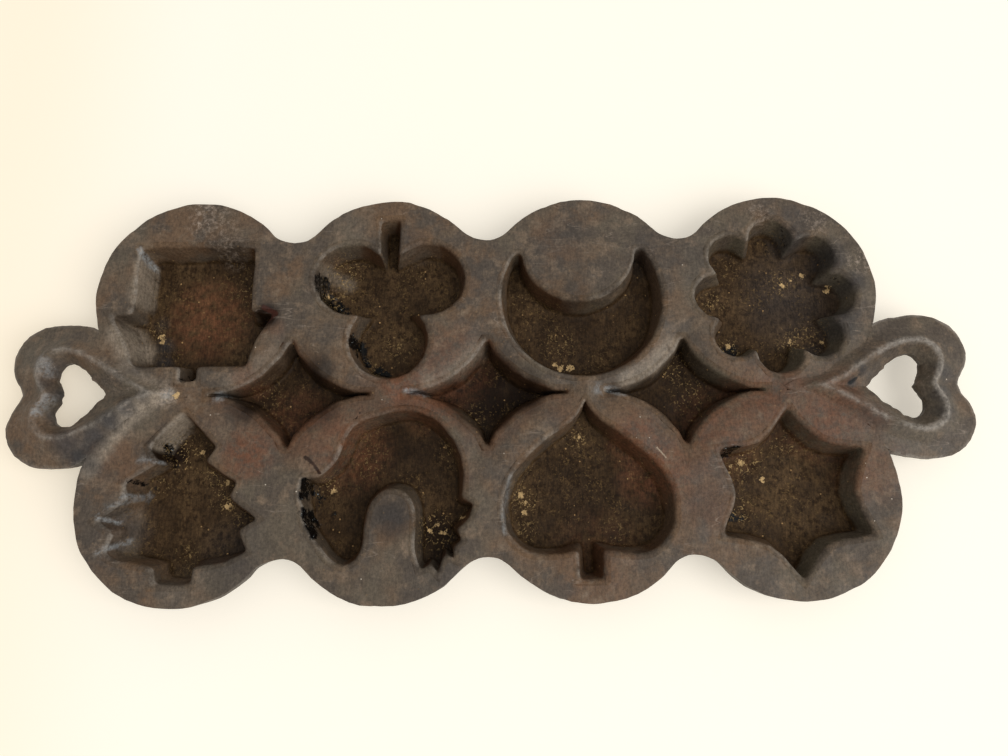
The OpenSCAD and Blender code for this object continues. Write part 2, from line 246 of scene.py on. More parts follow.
for node, (name, axes) in WORK.items():
    piece = casting_of(node, name)
    if name.endswith("_cup"):
        soft = soften(piece, TOP, 25, 65, 0.42 * MM, 2)
        soft += soften(piece, TOP - WORN, 15, 65, 0.42 * MM, 2)
        soft += soften(piece, FLOOR + 0.8 * MM, 15, 65, 0.3 * MM, 2)
    elif name == "iron_plate":
        soft = soften(piece, TOP, 70, 110, 0.8 * MM, 3, True,
                      lambda p: abs(p.x) < 0.100 or abs(p.y) > 0.029)
    cuts = cut_on_grid(piece, axes, 1 if name.endswith("_loop") else 0)
    diagonals = clear_diagonals(piece)
    castings[name] = piece
    print(f"{name}: {soft} edges softened, {cuts} cuts, {diagonals} diagonals out,",
          f"{len(piece.data.polygons)} faces")

# %% [markdown]
# ## Washed walls
# Molten iron doesn't fill a sharp corner of the sand, and years of dough and cloth have
# rounded what was left. So the walls of the pockets are relaxed with a smoothing
# modifier. Only the inner skin is free to move. The ring where a pocket meets the plate
# and the shell under the plate hold still. The walls that look to the right are the
# softest on this mould, so they get the most.


# %% Relax the inner walls of the pockets
def relax(piece, rounds):
    """Smooths the inner skin of a pocket and keeps its meeting ring where it is."""
    look = bmesh.new()
    look.from_mesh(piece.data)
    look.normal_update()
    free = piece.vertex_groups.new(name="relax")
    for v in look.verts:
        if v.normal.z > 0.05 and not any(abs(f.normal.z) < 0.04 for f in v.link_faces):
            share = min(1.0, max(0.3, 0.55 + 0.6 * v.normal.x))
            free.add([v.index], share if v.co.z > FLOOR + 0.2 * MM else 0.5, "REPLACE")
    look.free()
    bpy.ops.object.select_all(action="DESELECT")
    piece.select_set(True)
    bpy.context.view_layer.objects.active = piece
    smooth = piece.modifiers.new("relax", "SMOOTH")
    smooth.factor, smooth.iterations, smooth.vertex_group = 0.5, rounds, "relax"
    bpy.ops.object.modifier_apply(modifier="relax")


for name, piece in castings.items():
    if name.endswith("_cup"):
        relax(piece, (12) * (2 if name == "tree_cup" else 1))
print("walls relaxed")

# %% Mark the thin lines of painted highlight: rim bevels that face the light, and the crests and outer edges of the loops
for name, piece in castings.items():
    painted_highlight = []
    look = bmesh.new()
    look.from_mesh(piece.data)
    look.normal_update()
    for v in look.verts:
        here, out = v.co, v.normal
        # painted highlight: rims whose bevel turns to the light on the right, and the crests and outer edges of the
        # loops
        if name.endswith("_cup"):
            line = max(0.0, out.x) * (14.8 * MM < here.z < 15.98 * MM) * 0.8
            if "diamond" in name:
                line *= min(1.0, max(0.0, 0.5 - 2 * out.y))
        elif name.endswith("_loop"):
            heart = Vector((math.copysign(152 * MM, here.x), 0.7 * MM))
            away = max(0.0, (here.xy - heart).normalized().dot(out.xy))
            crest = max(0.0, (here.z - 18.7 * MM) / (0.6 * MM))
            edge = away * max(0.0, 1 - abs(here.z - 14.3 * MM) / (0.6 * MM)) * (abs(here.x) > 143 * MM)
            line = max(crest, 1.4 * edge) * (1.0 if here.x > 145 * MM else 0.45)
        else:
            line = 0.0
        painted_highlight.append(min(1.0, line))
    look.free()
    piece.data.attributes.new("painted_highlight", "FLOAT", "POINT").data.foreach_set("value", painted_highlight)
print("worn lines marked")

# %% [markdown]
# ## Where the loops run into the plate
# On the real mould the straps of the loops don't end at a line: the metal swells up
# beside the left one, and outside the plate the straps rise to its upper face. Two low
# mounds are raised on the plate there. The outer slopes of the loops are lifted to the
# height of the plate within a centimetre of its edge.

# %% Raise the mounds and the roots of the straps
MOUNDS = [(-148, -29, 5, 0.9), (-145, -24.5, 5, 1.0), (-142, -20, 5, 1.1), (-139, -15, 5, 1.1),
          (-135.5, -10.5, 5, 1.1), (-131, -6.5, 5, 1.0), (-126, -3, 4, 0.7),
          (-142, 23, 9, 0.9), (-137, 20, 9, 1.0)]
outline = kdtree.KDTree(len(castings["iron_plate"].data.vertices))
rim = [v.co for v in castings["iron_plate"].data.vertices if v.co.z > TOP - 1.2 * MM]
for i, spot in enumerate(rim):
    outline.insert((spot.x, spot.y, 0), i)
outline.balance()
for name in ("iron_plate", "house_cup", "tree_cup", "left_heart_loop", "right_heart_loop"):
    for v in castings[name].data.vertices:
        if name.endswith("_loop") and 14 * MM < v.co.z < TOP and abs(v.co.y) > 10 * MM:
            away = outline.find((v.co.x, v.co.y, 0))[2]
            share = max(0.0, 1 - away / (10 * MM)) * min(1.0, (abs(v.co.y) - 10 * MM) / (5 * MM))
            v.co.z += (TOP - v.co.z) * share * share * (3 - 2 * share)
        if v.co.z > 13.5 * MM and v.co.x < -0.115:
            rise = 0.0
            for x, y, radius, height in MOUNDS:
                share = max(0.0, 1 - math.hypot(v.co.x - x * MM, v.co.y - y * MM) / (1.4 * radius * MM))
                rise = max(rise, height * MM * share * share * (3 - 2 * share))
            v.co.z += rise * min(1.0, (v.co.z - 13.5 * MM) / (2 * MM))
print("straps run into the plate over", len(rim), "places")

# %% [markdown]
# ## Dipped lips and filled branches
# The metal dips softly towards the three small diamonds, as it does where two rounded
# lobes of a pattern meet. And the left branches of the fir tree are half full of old
# crust, so they are shallower than the rest of the tree.

# %% Dip the metal towards the diamonds
DIP, DIP_REACH = 1.3 * MM, 5.5 * MM
lips = [v.co.copy() for name, piece in castings.items() if "diamond" in name
        for v in piece.data.vertices if v.co.z > TOP - 1.2 * MM]
lip_line = kdtree.KDTree(len(lips))
for i, spot in enumerate(lips):
    lip_line.insert((spot.x, spot.y, 0), i)
lip_line.balance()
for piece in castings.values():
    for v in piece.data.vertices:
        if v.co.z > 12 * MM:
            share = max(0.0, 1 - lip_line.find((v.co.x, v.co.y, 0))[2] / DIP_REACH)
            v.co.z -= DIP * share * share * (3 - 2 * share) * min(1.0, (v.co.z - 12 * MM) / (4 * MM))
print("lips dip around", len(lips), "places")

# %% Fill the left branches of the tree
tree = castings["tree_cup"]
inner = tree.vertex_groups["relax"].index
for v in tree.data.vertices:
    if inner in [g.group for g in v.groups] and v.co.z < 14 * MM:
        share = min(1.0, max(0.0, (-126 * MM - v.co.x) / (13 * MM)))
        v.co.z += 0.75 * (14 * MM - v.co.z) * share * share * (3 - 2 * share)
print("branches filled")

# %% [markdown]
# ## Out of true
# Sand moulds shift and swell a little. A soft cloud texture pushes every skin sideways
# and up by a few tenths of a millimetre, the same cloud for all pieces. The flat
# undersides stay flat, because the real ones rub on the hearth.

# %% Keep a skin inside the measured box
def corners(piece):
    """The places of a skin's corners, one row each, in metres."""
    flat = numpy.empty(3 * len(piece.data.vertices), numpy.float32)
    piece.data.vertices.foreach_get("co", flat)
    return flat.reshape(-1, 3)


def keep_inside(piece):
    """Pulls back what was pushed out of the box of the measured solids."""
    places = numpy.clip(corners(piece), cad_low, cad_high)
    piece.data.vertices.foreach_set("co", places.ravel())
    piece.data.update()


# %% Swell the skins with one common cloud
swell = bpy.data.textures.new("sand_swell", "CLOUDS")
swell.cloud_type = "COLOR"
swell.noise_scale = 11 * MM
swell.noise_depth = 2
for piece in castings.values():
    free = piece.vertex_groups.new(name="free")
    free.add([v.index for v in piece.data.vertices if v.co.z > 0.5 * MM], 1.0, "REPLACE")
    bpy.ops.object.select_all(action="DESELECT")
    piece.select_set(True)
    bpy.context.view_layer.objects.active = piece
    push = piece.modifiers.new("swell", "DISPLACE")
    push.texture = swell
    push.texture_coords = "LOCAL"
    push.direction = "RGB_TO_XYZ"
    push.mid_level = 0.5
    push.strength = 1.3 * MM
    push.vertex_group = "free"
    bpy.ops.object.modifier_apply(modifier="swell")
    keep_inside(piece)
    bpy.ops.object.shade_smooth_by_angle(angle=math.radians(38))
print("swell applied to", len(castings), "skins")

# %% [markdown]
# ## Ragged loops
# The holes of the loops show where the sand crumbled: small nicks and a wavy line. A
# second, finer cloud moves the thin edges there, and the outer edges only a little.

# %% Nick the edges of the loops
crumble = bpy.data.textures.new("sand_crumble", "CLOUDS")
crumble.cloud_type = "COLOR"
crumble.noise_scale = 2.6 * MM
crumble.noise_depth = 1
for name in ("left_heart_loop", "right_heart_loop"):
    piece = castings[name]
    edge = piece.vertex_groups.new(name="edge")
    for v in piece.data.vertices:
        thin = max(0.0, 1 - max(0.0, v.co.z - 14.2 * MM) / (1.6 * MM))
        hole = math.hypot(abs(v.co.x) - 151 * MM, 1.1 * v.co.y) < 17 * MM
        thin *= (1.0 if v.co.x < 0 else 0.7) if hole else 0.22
        if thin * (abs(v.co.x) > 141 * MM) > 0:
            edge.add([v.index], thin, "REPLACE")
    bpy.ops.object.select_all(action="DESELECT")
    piece.select_set(True)
    bpy.context.view_layer.objects.active = piece
    nick = piece.modifiers.new("nick", "DISPLACE")
    nick.texture, nick.texture_coords, nick.direction = crumble, "LOCAL", "RGB_TO_XYZ"
    nick.mid_level, nick.strength, nick.vertex_group = 0.5, 1.4 * MM, "edge"
    bpy.ops.object.modifier_apply(modifier="nick")
    keep_inside(piece)
print("edges of the loops nicked")

# %% [markdown]
# ## Stains, worn places and painted light
# An old casting is never one colour. The places of the larger stains are painted on the
# skins as soft round dabs, each kind in its own layer, and the material later frays
# their edges with noise. Some layers are painted light: highlights and glints where the
# surface faces the window, and shade where it is turned away.

# %% Where the stains, the painted highlights and the painted shade lie, in millimetres
def along(points, radius, strength):
    """Dabs set close together along a bent line."""
    dabs = []
    for (ax, ay), (bx, by) in zip(points, points[1:]):
        steps = max(1, round(math.hypot(bx - ax, by - ay) / (0.5 * radius)))
        dabs += [(ax + (bx - ax) * i / steps, ay + (by - ay) * i / steps, radius, strength)
                 for i in range(steps + 1)]
    return dabs


STAINS = {
    "rust": [(-112, 33, 15, 0.8), (-90, -23, 9, 1.0), (61, -30, 12, 0.9), (54, -18, 9, 0.8), (86, -16, 16, 0.5),
             (126, -9, 16, 0.6), (-54, -21, 14, 0.6), (101, -5, 14, 0.5), (-15, 12, 14, 0.5), (-35, 2, 7, 0.9), (-92.5, 6, 6, 0.5),
             (142, -31, 12, 0.4), (39, -62, 16, 0.25), (-23, -1, 12, 0.7), (-74, -9, 12, 0.5)],
    # soot dabs; the first is painted shadow in the small chimney notch of the house
    "soot_and_shadow": [(-115, 7.6, 3.2, 1.0), (-52, 20.6, 4.0, 1.0)]
    + along([(-67, 46), (-66, 42), (-62, 38), (-58, 34)], 3.2, 1.0)
    + along([(-53, 22), (-50, 16), (-45, 11), (-41, 9)], 2.4, 0.9)
    + along([(-123.4, -18), (-120.5, -25)], 1.6, 0.6) + along([(-134, -31), (-128, -33.8)], 1.5, 0.7)
    + along([(-70, -30), (-69.5, -37)], 3.2, 1.0) + along([(-68.5, -44), (-67.5, -48), (-65.5, -52)], 2.4, 1.0)
    + [(-66, -38, 4, 0.6), (-60, -44, 4, 0.4), (113, 64, 4, 0.4), (116.5, 58, 5, 0.4), (134, 44, 4, 0.3),
       (89, -22, 3.5, 0.9), (91.3, -47.3, 3, 0.9), (94.2, 16.9, 4, 0.9), (87, 33, 3, 0.5)],
    # burnt oil, and painted shade on the diamond slopes turned from the light and in the house's eave
    "burnt_oil_and_shade": [(-14, 2, 9, 0.8), (-2, 1, 14, 0.9), (11, 0, 9, 0.8), (-79, 2, 14, 0.35), (-92, -3, 7, 0.6),
              (-70, -7, 7, 0.6), (-66, 8, 7, 0.7), (75, 0, 13, 0.35), (-32, -20, 14, 0.5), (-50, -30, 10, 0.4),
              (-36, -46, 8, 0.4), (-62, -6, 5, 0.7), (-91.5, -6, 5, 0.7), (-123, -19, 4.5, 0.7), (37, -38, 20, 0.45), (32, 26, 16, 0.3), (-86, 30.5, 5, 1.0), (-121.5, -21, 5, 0.9),
              (-20, -52, 8, 0.6), (-104, 58, 8, 0.3), (-40, 45, 16, 0.2)],
    "litter": [(-118, -21, 7, 1), (-105, -30, 6, 0.9), (-101, -38, 6, 0.9), (-114, -60, 6, 0.7),
               (-95, -46, 4, 0.6), (-126, -33, 4, 0.8), (-22, -51, 8, 1), (-62, -32, 6, 0.8),
               (-46, -25, 7, 0.6), (-15, -22, 6, 0.7), (12, -40, 6, 1), (13, -51, 5, 0.7),
               (33, -16, 5, 0.9), (46, -52, 6, 0.6), (56, -29, 6, 0.4), (11, -27, 5, 0.6),
               (97, -26, 8, 1), (93, -44, 6, 0.9), (113, -20, 6, 0.9), (116, -45, 8, 0.3),
               (118, 45, 6, 0.8), (120, 20, 7, 0.9), (127, 21, 5, 0.8), (94, 18, 5, 1),
               (89, 38, 6, 0.7), (96, 53, 5, 0.6), (127, 26, 4, 0.8), (-59, 52, 7, 1),
               (-62, 40, 6, 0.8), (-36, 21, 7, 0.7), (-30, 50, 5, 0.5), (-46, 10, 6, 0.8),
               (-18, 36, 4, 0.5), (72, 11, 6, 0.8), (77, 0, 8, 0.6), (-97, 45, 6, 0.7),
               (-133, 29, 5, 0.6), (-86, 2, 7, 0.5), (-8, -9, 7, 0.6), (27, 21, 8, 0.6),
               (12, 39, 5, 0.5), (61, 52, 4, 0.4), (43, 14, 6, 0.4)],
    # painted shade on the slopes and inner walls of the loops and straps turned from the light, and dark grey
    # patches elsewhere, most on the flower
    "shade": [(-154, -21, 5, 0.6), (-149, -21, 5, 0.8), (-146, -16, 5, 0.9), (-141, -10, 4.5, 0.9),
               (-135, -5, 3.5, 0.8), (-129, -1, 2.5, 0.7), (-129, 22, 3.5, 0.8),
               (-129, 15, 3.5, 0.8), (-131, 31, 3, 0.5), (-134, 10, 2.5, 0.5), (-164, 10, 4, 0.6), (-161, 1, 4, 0.9), (-162, -7, 4, 0.7),
               (-152, 5, 3, 0.5), (-148, 1, 2.5, 0.5), (170, 5, 4, 0.9), (168, -3, 3.5, 0.9),
               (169, -10, 4, 0.7), (140, 6, 2.2, 0.9), (136, 2, 2, 0.8), (136, 29, 6, 0.4),
               (121, 71, 5, 0.5), (-31, 61, 6, 0.35), (-94, -60, 14, 0.4), (-18, -70, 12, 0.35),
               (28, 60, 10, 0.4), (-142, -60, 10, 0.3), (61, 56, 8, 0.4), (-4, 44, 8, 0.3),
               (78, 51, 9, 0.3), (119, 60, 6, 0.7), (134, 53, 6, 0.8), (142, 42, 4.5, 0.8), (136, 26, 7, 0.8),
               (127, 15.5, 4.5, 0.7), (119, 39, 18, 0.5), (-36, -47, 6, 0.5), (77.5, -43, 7, 0.3), (142, -11, 5, 0.3), (-156, -18, 6, 0.9), (-152, -23, 4.5, 1.0), (-147, -26, 4, 0.8),
               (-167, 4, 3, 0.7), (-136, -49, 7, 0.45)],
    "warm": [(-36, -9, 13, 0.9), (-56, -14, 9, 0.9), (-23, -7, 10, 0.9), (-49, -3, 9, 0.7),
              (-34, 3, 8, 0.8), (-71, -18, 9, 0.8), (-89, -14, 9, 0.5), (-104, -12, 7, 0.4),
              (-44, -29, 8, 0.6), (-137, -26, 9, 0.5), (-13, -29, 8, 0.6), (78, -12, 10, 0.8),
              (91, -6, 9, 0.9), (104, -5, 9, 0.9), (126, -12, 10, 0.9), (134, -5, 8, 0.7),
              (77.5, -43, 10, 0.9), (142, -11, 6, 0.8), (-92, 6, 6, 0.9), (56, -12, 8, 0.4), (113, 3, 6, 0.8), (26, -6, 7, 0.5),
              (-84, 25, 5, 0.9), (-76, 13, 7, 0.5), (-44, 5, 7, 0.6), (-87, 72, 8, 0.4),
              (135, -31, 9, 0.5), (73, -30, 9, 0.5)]
    + along([(-103, -3), (-91, -8), (-81, -16), (-76.4, -21), (-72, -16), (-62, -8), (-50, -3)], 3, 0.8)
    + along([(-28, -3), (-16, -8), (-6, -16), (-1.6, -21), (3, -16), (13, -8), (25, -3)], 3, 0.8),
    "scuff": [(-114, 76, 5, 0.8), (-114.6, 68.3, 3.5, 1.0), (-108.8, 76.4, 3, 0.6),
              (-102.6, 60.2, 6, 0.4), (107.2, 71.1, 5, 0.6), (128.6, 67.5, 6, 0.5),
              (144.3, 49.7, 5, 0.8), (-121.7, -0.2, 4, 1.0), (-108, 68, 8, 0.5), (-65, 43.5, 4, 0.3)],
    # pale bands along the slopes of the straps and pocket walls that face the light: painted light, with a few pale
    # pads and patches
    "painted_light_and_rub": along([(-148, -28), (-142, -19), (-135.5, -9.5), (-127, -2.8), (-121, 0)], 3.0, 1.0)
    + [(-141, 24, 5, 0.8), (-138, 19, 5.5, 0.9)] + along([(-124, -19), (-115.5, -8.5)], 1.8, 0.9)
    + along([(-138, 11), (-130, 6), (-123, 3)], 2.2, 0.5) + along([(-136.5, 53), (-137, 38)], 2.6, 0.7)
    + along([(-99, 4), (-90, 9), (-83, 16)], 3.0, 0.3) + along([(51, 4), (62, 10), (69, 18)], 3.0, 0.7)
    + along([(-24, 4), (-13, 9), (-5, 17)], 3.0, 0.5) + along([(-57, 47), (-64, 50)], 3, 0.5) + [(-111, -71, 8, 0.2), (-53, 67, 8, 0.15), (146, 36, 8, 0.12)],
    # painted glints: small blue-grey highlights where the window is reflected, on the house's corner, the left loop,
    # the tips and the tree
    "painted_glint": along([(-137.4, 58.8), (-135.2, 54.0)], 0.9, 1.0)
    + along([(-168, 13), (-167, 9)], 2.4, 0.42) + along([(-165, -1), (-167, -4)], 1.5, 0.6)
    + [(-168.5, -6.5, 1.5, 0.8), (-121, 0.4, 2.2, 0.7), (-102.5, -0.6, 2, 0.9),
       (40.2, 1.0, 1.6, 0.9)] + along([(-32, 1.2), (-25, -0.5)], 1.2, 0.7) + along([(44, 0.8), (50, -1)], 1.3, 0.7)
    + along([(-129, -24.1), (-122.4, -25.1)], 0.7, 0.6) + along([(-135, -37.6), (-129, -36.8)], 0.7, 0.6)
    + along([(-143.4, -45.1), (-137, -46.9)], 0.8, 0.8) + along([(-139.5, -41.5), (-129, -37.5)], 0.7, 0.5)
    + along([(-141.7, -57.5), (-133, -53.1)], 0.8, 0.7) + along([(4.6, -52), (4.2, -45), (7, -32)], 0.8, 0.5),
}


# %% Paint the stains, the painted highlights and the painted shade on the skins
def paint(piece, layer, dabs, base=0.0):
    """Gives each corner of the skin the strength of the strongest dab over it."""
    places = corners(piece)
    values = base * numpy.clip((TOP - 1.5 * MM - places[:, 2]) / (1.6 * MM), 0, 1)
    for x, y, radius, strength in dabs:
        away = numpy.hypot(places[:, 0] / MM - x, places[:, 1] / MM - y) / (1.3 * radius)
        values = numpy.maximum(values, strength * (1 - away * away))
    made = piece.data.attributes.new(layer, "FLOAT", "POINT")
    made.data.foreach_set("value", values.astype(numpy.float32))


for layer, dabs in STAINS.items():
    for piece in castings.values():
        paint(piece, layer, dabs, 0.45 if layer == "burnt_oil_and_shade" and "diamond" in piece.name else 0.0)
    print(layer, "painted in", len(dabs), "dabs")

# %% [markdown]
# ## Seasoned iron
# The skin of the mould is burnt oil over iron: nearly black and brown in the pockets,
# greyer and scuffed on the upper face where it is wiped. The finish is built as a
# recipe of small steps. Every pattern reads Object coordinates in metres, so all the
# skins carry one unbroken surface.


# %% A small helper to add and wire nodes
class Recipe:
    """One material's node tree, filled step by step."""

    def __init__(self, name):
        self.material = bpy.data.materials.new(name)
        self.material.use_nodes = True
        self.tree = self.material.node_tree
        self.tree.nodes.clear()
        self.out = self.add("ShaderNodeOutputMaterial")
        self.place = self.add("ShaderNodeTexCoord").outputs["Object"]
        self.count = 0

    def add(self, kind, **settings):
        node = self.tree.nodes.new(kind)
        for key, value in settings.items():
            setattr(node, key, value)
        return node

    def wire(self, value, socket):
        if isinstance(value, bpy.types.NodeSocket):
            self.tree.links.new(value, socket)
        else:
            socket.default_value = value

    def math(self, kind, a, b=0.0, clamp=False):
        node = self.add("ShaderNodeMath", operation=kind, use_clamp=clamp)
        self.wire(a, node.inputs[0])
        self.wire(b, node.inputs[1])
        return node.outputs[0]

    def noise(self, size_mm, detail=3.0, roughness=0.5, where=None):
        """Cloudy noise with patches of about this size."""
        node = self.add("ShaderNodeTexNoise")
        self.wire(where or self.place, node.inputs["Vector"])
        node.inputs["Scale"].default_value = 1000.0 / size_mm
        node.inputs["Detail"].default_value = detail
        node.inputs["Roughness"].default_value = roughness
        return node.outputs["Fac"]

    def ramp(self, value, low, high, to_low=0.0, to_high=1.0):
        """Spreads the part of a value between low and high smoothly."""
        node = self.add("ShaderNodeMapRange", interpolation_type="SMOOTHSTEP")
        self.wire(value, node.inputs["Value"])
        node.inputs["From Min"].default_value = low
        node.inputs["From Max"].default_value = high
        node.inputs["To Min"].default_value = to_low
        node.inputs["To Max"].default_value = to_high
        return node.outputs["Result"]

    def mix(self, share, a, b, kind="MIX"):
        node = self.add("ShaderNodeMix", data_type="RGBA", blend_type=kind)
        self.wire(share, node.inputs[0])
        self.wire(a, node.inputs[6])
        self.wire(b, node.inputs[7])
        return node.outputs[2]

    def layer(self, name):
        return self.add("ShaderNodeAttribute", attribute_name=name).outputs["Fac"]


# %% The finish of the iron
# Each line: points, width in millimetres and tone. The first, fourth and last are painted shade, in a groove by the
# fish, in the slot beside the right strap and in the house's eave; the fifth is a painted highlight beside the slot.
LINES = [([(-68.5, -23.9), (-65.4, -26.5), (-61.9, -31.3)], 0.9, (0.030, 0.014, 0.008, 1)),
         ([(-48.8, -4.7), (-48.9, -7.5), (-50.2, -9.8)], 0.4, (0.030, 0.016, 0.010, 1)),
         ([(61.3, -21.9), (64.4, -25.6)], 0.4, (0.36, 0.28, 0.20, 1)),
         ([(135.2, 1.8), (138.5, 5.5), (141.2, 9.3)], 1.5, (0.010, 0.011, 0.012, 1)),
         ([(133.6, 2.2), (136.6, 6.2)], 0.45, (0.42, 0.40, 0.36, 1)),
         ([(-87, 34), (-82.5, 31.5), (-87, 27.5)], 1.4, (0.040, 0.012, 0.007, 1))]


def seasoned_iron(name, gloss, shaded_sides, crumbs):
    r = Recipe(name)
    split = r.add("ShaderNodeSeparateXYZ")
    r.wire(r.place, split.inputs[0])
    tilt = r.add("ShaderNodeSeparateXYZ")
    r.wire(r.add("ShaderNodeNewGeometry").outputs["Normal"], tilt.inputs[0])
    broad, medium, fine = r.noise(30, 3), r.noise(7, 6, 0.62), r.noise(1.1, 4, 0.7)
    # the upper face: grey and brown patches, finely mottled
    face = r.mix(r.ramp(broad, 0.40, 0.60), (0.107, 0.084, 0.059, 1), (0.129, 0.080, 0.047, 1))
    face = r.mix(r.ramp(r.noise(13, 6, 0.6), 0.42, 0.60), face, (0.082, 0.063, 0.047, 1))
    face = r.mix(r.ramp(r.noise(6, 6, 0.65), 0.50, 0.70), face, (0.166, 0.119, 0.080, 1))
    warm = r.math("MULTIPLY", r.layer("warm"), r.ramp(r.noise(8, 5, 0.65), 0.25, 0.6), clamp=True)
    face = r.mix(warm, face, (0.120, 0.064, 0.037, 1))
    # the walls: like the face where they look to the right, towards the light, and painted shade where they look to
    # the left, rust brown on the left of the mould and dull grey on the right
    left = r.ramp(r.math("ADD", tilt.outputs["X"], r.math("MULTIPLY", r.math("SUBTRACT", medium, 0.5), 0.5)),
                  0.15, -0.45)
    shadow_side = r.mix(r.ramp(split.outputs["X"], 0.050, 0.090), (0.064, 0.032, 0.016, 1), (0.094, 0.076, 0.052, 1))
    wall = r.mix(r.math("MULTIPLY", left, shaded_sides), r.mix(0.25, face, (0.05, 0.034, 0.020, 1)), shadow_side)
    # the floors: burnt oil, brown over black
    floor = r.mix(r.ramp(r.noise(14, 5, 0.6), 0.38, 0.62), (0.046, 0.026, 0.0115, 1), (0.078, 0.046, 0.021, 1))
    floor = r.mix(r.ramp(r.noise(2.5, 5, 0.7), 0.45, 0.62), floor, (0.030, 0.016, 0.0065, 1))
    # how deep the place lies under the upper face
    ragged = r.math("ADD", split.outputs["Z"], r.math("MULTIPLY", r.math("SUBTRACT", medium, 0.5), 0.004))
    colour = r.mix(r.ramp(ragged, 0.0158, 0.0140), face, wall)
    low = r.ramp(ragged, 0.0080, 0.0050)
    colour = r.mix(low, colour, floor)
    # burnt oil, and painted shade on slopes turned from the light and in the eave
    burnt_oil_and_shade = r.math("MULTIPLY", r.layer("burnt_oil_and_shade"), r.ramp(r.noise(9, 5, 0.65), 0.20, 0.55, 0.5, 1.4), clamp=True)
    colour = r.mix(burnt_oil_and_shade, colour, (0.011, 0.005, 0.002, 1))
    # rust
    rust = r.math("MULTIPLY", r.layer("rust"), r.ramp(r.noise(4, 5, 0.7), 0.3, 0.65), clamp=True)
    colour = r.mix(rust, colour, (0.145, 0.058, 0.028, 1))
    # pale places: painted light on the slopes of the straps and pocket walls that face the light, and a few pale
    # pads and patches
    painted_light_and_rub = r.math("MULTIPLY", r.layer("painted_light_and_rub"), r.ramp(r.noise(3, 5, 0.7), 0.20, 0.50), clamp=True)
    colour = r.mix(painted_light_and_rub, colour, (0.255, 0.208, 0.158, 1))
    # painted shade on the sides of the loops and straps turned from the light, and dark grey patches
    dim = r.math("MULTIPLY", r.layer("shade"), r.ramp(r.noise(7, 5, 0.65), 0.15, 0.45, 0.6, 1.0), clamp=True)
    colour = r.mix(r.math("MULTIPLY", dim, 0.9), colour, (0.036, 0.034, 0.035, 1))
    # painted highlight on the rims that face the light and on the crests and edges of the loops
    painted_highlight = r.math("MULTIPLY", r.layer("painted_highlight"), r.ramp(r.noise(6, 6, 0.7), 0.36, 0.58), clamp=True)
    colour = r.mix(r.math("MULTIPLY", painted_highlight, 0.9), colour, (0.27, 0.24, 0.205, 1))
    # painted glints in pale blue-grey, where the surface is also made smoother
    painted_glint = r.math("MULTIPLY", r.layer("painted_glint"), r.ramp(r.noise(1.6, 4, 0.7), 0.34, 0.58), clamp=True)
    colour = r.mix(r.math("MULTIPLY", painted_glint, 0.75), colour, (0.30, 0.32, 0.33, 1))
    # soot, where the oil has burnt to glossy black, on the walls and floors only, and painted shadow in the chimney
    # notch of the house
    frayed = r.math("MULTIPLY", r.math("SUBTRACT", r.noise(5, 6, 0.75), 0.5), 3.6)
    soot_and_shadow = r.ramp(r.math("ADD", r.layer("soot_and_shadow"), frayed), 0.50, 0.85)
    soot_and_shadow = r.math("MULTIPLY", soot_and_shadow, r.ramp(r.layer("soot_and_shadow"), 0.02, 0.2))
    soot_and_shadow = r.math("MULTIPLY", soot_and_shadow, r.ramp(ragged, 0.0162, 0.0150))
    colour = r.mix(soot_and_shadow, colour, (0.003, 0.003, 0.003, 1))
    # painted sparkles of highlight in the soot
    painted_sparkle = r.math("MULTIPLY", soot_and_shadow, r.ramp(r.noise(1.1, 3, 0.6), 0.66, 0.71))
    colour = r.mix(painted_sparkle, colour, (0.22, 0.24, 0.24, 1))
    # scuffs and fine scratches on the upper face
    scuff = r.math("MULTIPLY", r.layer("scuff"), r.ramp(r.noise(2.2, 5, 0.75), 0.46, 0.66), clamp=True)
    turned = r.add("ShaderNodeMapping")
    r.wire(r.place, turned.inputs["Vector"])
    turned.inputs["Rotation"].default_value = (0, 0, 0.6)
    turned.inputs["Scale"].default_value = (0.25, 1.6, 1)
    line = r.math("ABSOLUTE", r.math("SUBTRACT", r.noise(6, 2, 0.4, turned.outputs[0]), 0.5))
    line = r.math("MULTIPLY", r.ramp(line, 0.010, 0.002), r.ramp(r.noise(18, 2), 0.52, 0.62))
    high = r.ramp(split.outputs["Z"], 0.0150, 0.0158)
    line = r.math("MULTIPLY", line, r.math("MULTIPLY", high, 0.35))
    colour = r.mix(r.math("MAXIMUM", scuff, line), colour, (0.30, 0.24, 0.19, 1))
    # drawn lines: painted shade in a groove by the fish, in the slot beside the right strap and in the house's eave,
    # a crack and a scratch, and a painted highlight beside the slot
    for points, width, tone in LINES:
        for a, b in zip(points, points[1:]):
            start, way = Vector((*a, 16)) * MM, Vector((b[0] - a[0], b[1] - a[1], 0)) * MM
            off = r.add("ShaderNodeVectorMath", operation="SUBTRACT")
            r.wire(r.place, off.inputs[0])
            off.inputs[1].default_value = start
            share = r.add("ShaderNodeVectorMath", operation="DOT_PRODUCT")
            r.wire(off.outputs[0], share.inputs[0])
            share.inputs[1].default_value = way / way.length_squared
            part = r.add("ShaderNodeVectorMath", operation="SCALE")
            part.inputs[0].default_value = way
            r.wire(r.math("ADD", share.outputs["Value"], 0.0, clamp=True), part.inputs["Scale"])
            gap = r.add("ShaderNodeVectorMath", operation="DISTANCE")
            r.wire(off.outputs[0], gap.inputs[0])
            r.wire(part.outputs[0], gap.inputs[1])
            wavy = r.math("ADD", gap.outputs["Value"], r.math("MULTIPLY", r.math("SUBTRACT", fine, 0.5), 0.0010))
            mark = r.ramp(wavy, width * MM, 0.4 * width * MM)
            colour = r.mix(mark, colour, tone)
